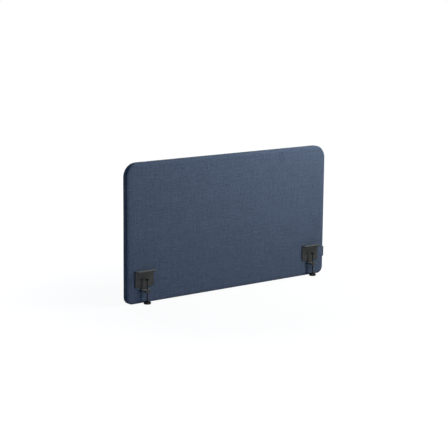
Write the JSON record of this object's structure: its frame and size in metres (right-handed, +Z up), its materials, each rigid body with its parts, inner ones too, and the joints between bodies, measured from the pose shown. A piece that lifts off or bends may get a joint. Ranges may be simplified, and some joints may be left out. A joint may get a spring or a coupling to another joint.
{
  "type": "desk privacy panel",
  "caption": "Fabric-covered rectangular desk privacy panel with rounded corners, a zip round its edge and screw clamps for a desk edge.",
  "frame": {"origin": "middle of the panel's flat bottom strip, which is the surface it stands on", "axes": "+Z up, +X along the panel to the right as seen from its clamp side, -Y out of the clamp side towards the desk"},
  "size_m": [1.2121, 0.0791, 0.6506],
  "materials": {
    "fabric": "woven, matt, dark blue with a fine mottled weave",
    "tab_ribbon": "ribbed ribbon, matt",
    "wadding": "pressed grey fibre",
    "board": "raw particle board",
    "zip_tape": "woven tape, matt",
    "zip_chain": "nylon coil, satin",
    "zip_metal": "dark lacquered die-cast",
    "powder_coat": "black powder coat, fine texture",
    "black_steel": "black oxide steel, satin",
    "insert_steel": "zinc plated",
    "knob_plastic": "moulded black plastic, satin",
    "rubber": "black rubber, matt"
  },
  "bodies": {
    "root": {"front_cover": "fabric", "rear_cover": "fabric", "bottom_strip": "fabric", "side_tab": "tab_ribbon", "front_wadding": "wadding", "rear_wadding": "wadding", "edge_wadding": "wadding", "core_board": "board", "zip_tape_front": "zip_tape", "zip_tape_rear": "zip_tape", "zip_chain": "zip_chain", "zip_start_stop": "zip_metal", "zip_end_stop": "zip_metal", "left_bracket": "powder_coat", "left_threaded_block": "powder_coat", "left_jaw_pad": "rubber", "left_fixing_screw_lower": "black_steel", "left_insert_lower": "insert_steel", "left_fixing_screw_upper": "black_steel", "left_insert_upper": "insert_steel", "right_bracket": "powder_coat", "right_threaded_block": "powder_coat", "right_jaw_pad": "rubber", "right_fixing_screw_lower": "black_steel", "right_insert_lower": "insert_steel", "right_fixing_screw_upper": "black_steel", "right_insert_upper": "insert_steel"},
    "left_pad": {"left_pressure_pad": "black_steel", "left_pad_face": "rubber"},
    "left_screw": {"left_clamp_screw": "black_steel", "left_knob": "knob_plastic"},
    "right_pad": {"right_pressure_pad": "black_steel", "right_pad_face": "rubber"},
    "right_screw": {"right_clamp_screw": "black_steel", "right_knob": "knob_plastic"},
    "slider": {"zip_slider": "zip_metal"},
    "puller": {"zip_puller": "zip_metal"}
  },
  "joints": [
    {"name": "left_pad_lift", "type": "slide", "parent": "root", "child": "left_pad", "axis": [0, 0, 1], "range_m": [0, 0.03]},
    {"name": "left_screw_turn", "type": "hinge", "parent": "left_pad", "child": "left_screw", "pos_m": [-0.5065, -0.044, 0.06], "axis": [0, 0, 1], "range_deg": [0, 10800]},
    {"name": "right_pad_lift", "type": "slide", "parent": "root", "child": "right_pad", "axis": [0, 0, 1], "range_m": [0, 0.03]},
    {"name": "right_screw_turn", "type": "hinge", "parent": "right_pad", "child": "right_screw", "pos_m": [0.5065, -0.044, 0.06], "axis": [0, 0, 1], "range_deg": [0, 10800]},
    {"name": "zip_slide", "type": "slide", "parent": "root", "child": "slider", "axis": [0, 0, 1], "range_m": [0, 0.505]},
    {"name": "puller_swing", "type": "hinge", "parent": "slider", "child": "puller", "pos_m": [0.6048, 0, 0.0665], "axis": [0, -1, 0], "range_deg": [0, 175]}
  ],
  "couplings": [
    {"joint": "left_screw_turn", "follows": "left_pad_lift", "rad_per_m": 6283.2},
    {"joint": "right_screw_turn", "follows": "right_pad_lift", "rad_per_m": 6283.2}
  ]
}
